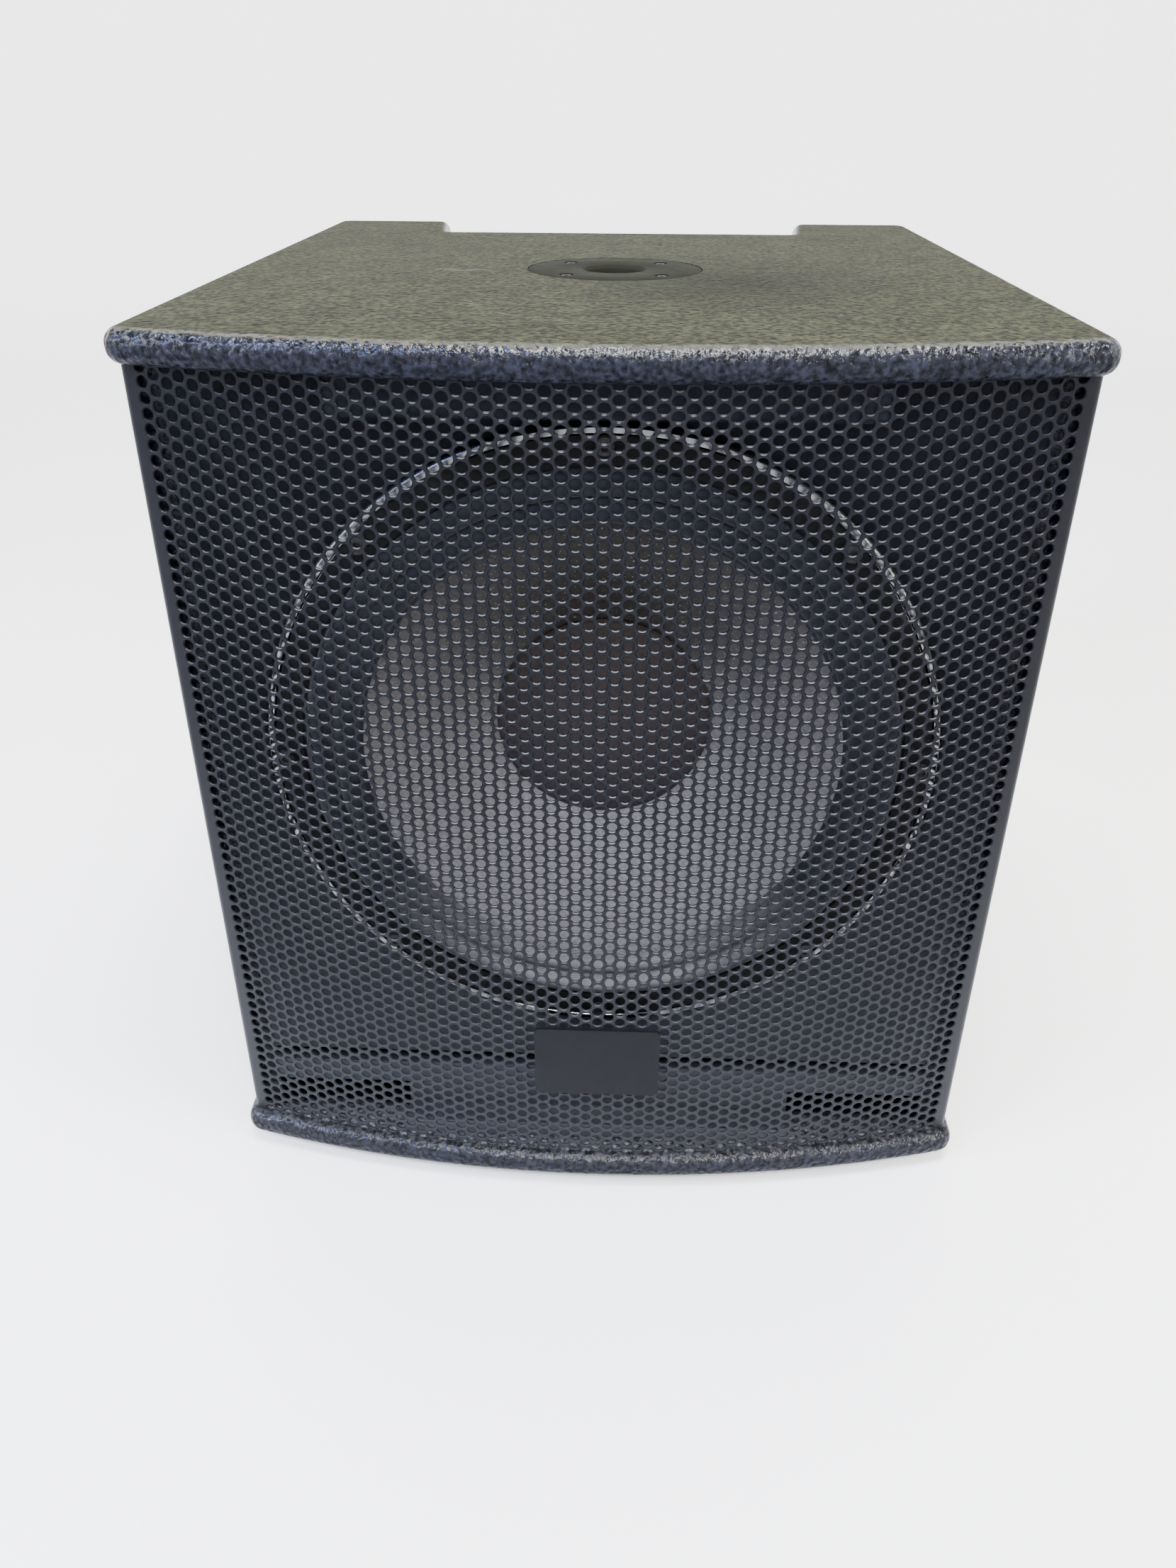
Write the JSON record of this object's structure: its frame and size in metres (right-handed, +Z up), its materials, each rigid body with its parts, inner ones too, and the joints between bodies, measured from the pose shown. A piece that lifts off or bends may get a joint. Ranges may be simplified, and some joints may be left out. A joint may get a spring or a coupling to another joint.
{
  "type": "subwoofer cabinet",
  "caption": "Ported subwoofer cabinet with a bowed perforated grille, top pole socket, side handles and a recessed rear connector plate.",
  "frame": {"origin": "middle of the footprint, on the surface that the rubber feet stand on", "axes": "+X to the right seen from the front, +Y from the grille towards the back, +Z up"},
  "size_m": [0.496, 0.583, 0.551],
  "materials": {
    "textured_paint": "textured paint over plywood, fine orange peel",
    "inner_paint": "matt black paint over plywood",
    "bare_plywood": "bare birch plywood",
    "grille_steel": "satin powder coat",
    "black_plastic": "satin moulding",
    "basket_metal": "satin black paint on cast aluminium",
    "machined_rim": "bright turned edge of the driver frame",
    "rubber": "matt",
    "surround_cloth": "coated pleated cloth",
    "spider_cloth": "resin-stiffened woven cloth",
    "cone_paper": "coated fibrous paper",
    "cap_paper": "coated fine paper",
    "former_film": "amber film",
    "copper": "enamelled winding",
    "zinc_steel": "zinc plate",
    "ferrite": "ground ceramic magnet",
    "black_steel": "black oxide and black paint",
    "socket_plastic": "semi-matt grey-black moulding",
    "moulded_plastic": "fine moulded grain",
    "circuit_board": "solder mask",
    "red_insulation": "satin wire insulation",
    "black_insulation": "satin wire insulation",
    "felt": "polyester wadding"
  },
  "bodies": {
    "cabinet": {"top_panel": "textured_paint", "bottom_panel": "textured_paint", "side_panel_left": "textured_paint", "side_panel_right": "textured_paint", "recess_cheek_left": "textured_paint", "recess_cheek_right": "textured_paint", "rear_panel_left": "textured_paint", "rear_panel_right": "textured_paint", "recess_back_panel": "textured_paint", "baffle": "inner_paint", "port_shelf": "inner_paint", "port_centre_block": "inner_paint", "port_divider_left": "bare_plywood", "port_divider_right": "bare_plywood", "lower_grille_batten": "inner_paint", "upper_grille_batten": "inner_paint", "window_brace": "bare_plywood", "grille": "grille_steel", "badge_plate": "black_plastic", "driver_basket": "basket_metal", "front_gasket": "rubber", "surround": "surround_cloth", "spider": "spider_cloth", "magnet_top_plate": "zinc_steel", "magnet": "ferrite", "pole_and_back_plate": "zinc_steel", "driver_terminal": "black_plastic", "driver_bolt_1": "black_steel", "driver_bolt_2": "black_steel", "driver_bolt_3": "black_steel", "driver_bolt_4": "black_steel", "driver_bolt_5": "black_steel", "driver_bolt_6": "black_steel", "driver_bolt_7": "black_steel", "driver_bolt_8": "black_steel", "pole_socket": "socket_plastic", "pole_socket_screw_1": "black_steel", "pole_socket_screw_2": "black_steel", "pole_socket_screw_3": "black_steel", "pole_socket_screw_4": "black_steel", "connector_plate": "black_steel", "speaker_socket_left": "moulded_plastic", "speaker_socket_right": "moulded_plastic", "side_handle_left": "moulded_plastic", "side_handle_right": "moulded_plastic", "rubber_foot_front_left": "rubber", "rubber_foot_front_right": "rubber", "rubber_foot_rear_left": "rubber", "rubber_foot_rear_right": "rubber", "filter_board": "circuit_board", "filter_inductor": "copper", "filter_capacitor": "black_plastic", "driver_lead_red": "red_insulation", "driver_lead_black": "black_insulation", "damping_pad_left": "felt", "damping_pad_right": "felt"},
    "moving_cone": {"cone": "cone_paper", "dust_cap": "cap_paper", "coil_former": "former_film", "voice_coil": "copper"}
  },
  "joints": [
    {"name": "cone_travel", "type": "slide", "parent": "cabinet", "child": "moving_cone", "axis": [0, -1, 0], "range_m": [-0.008, 0.008], "stiffness_N_per_m": 3500, "deforming": ["surround", "spider"]}
  ]
}
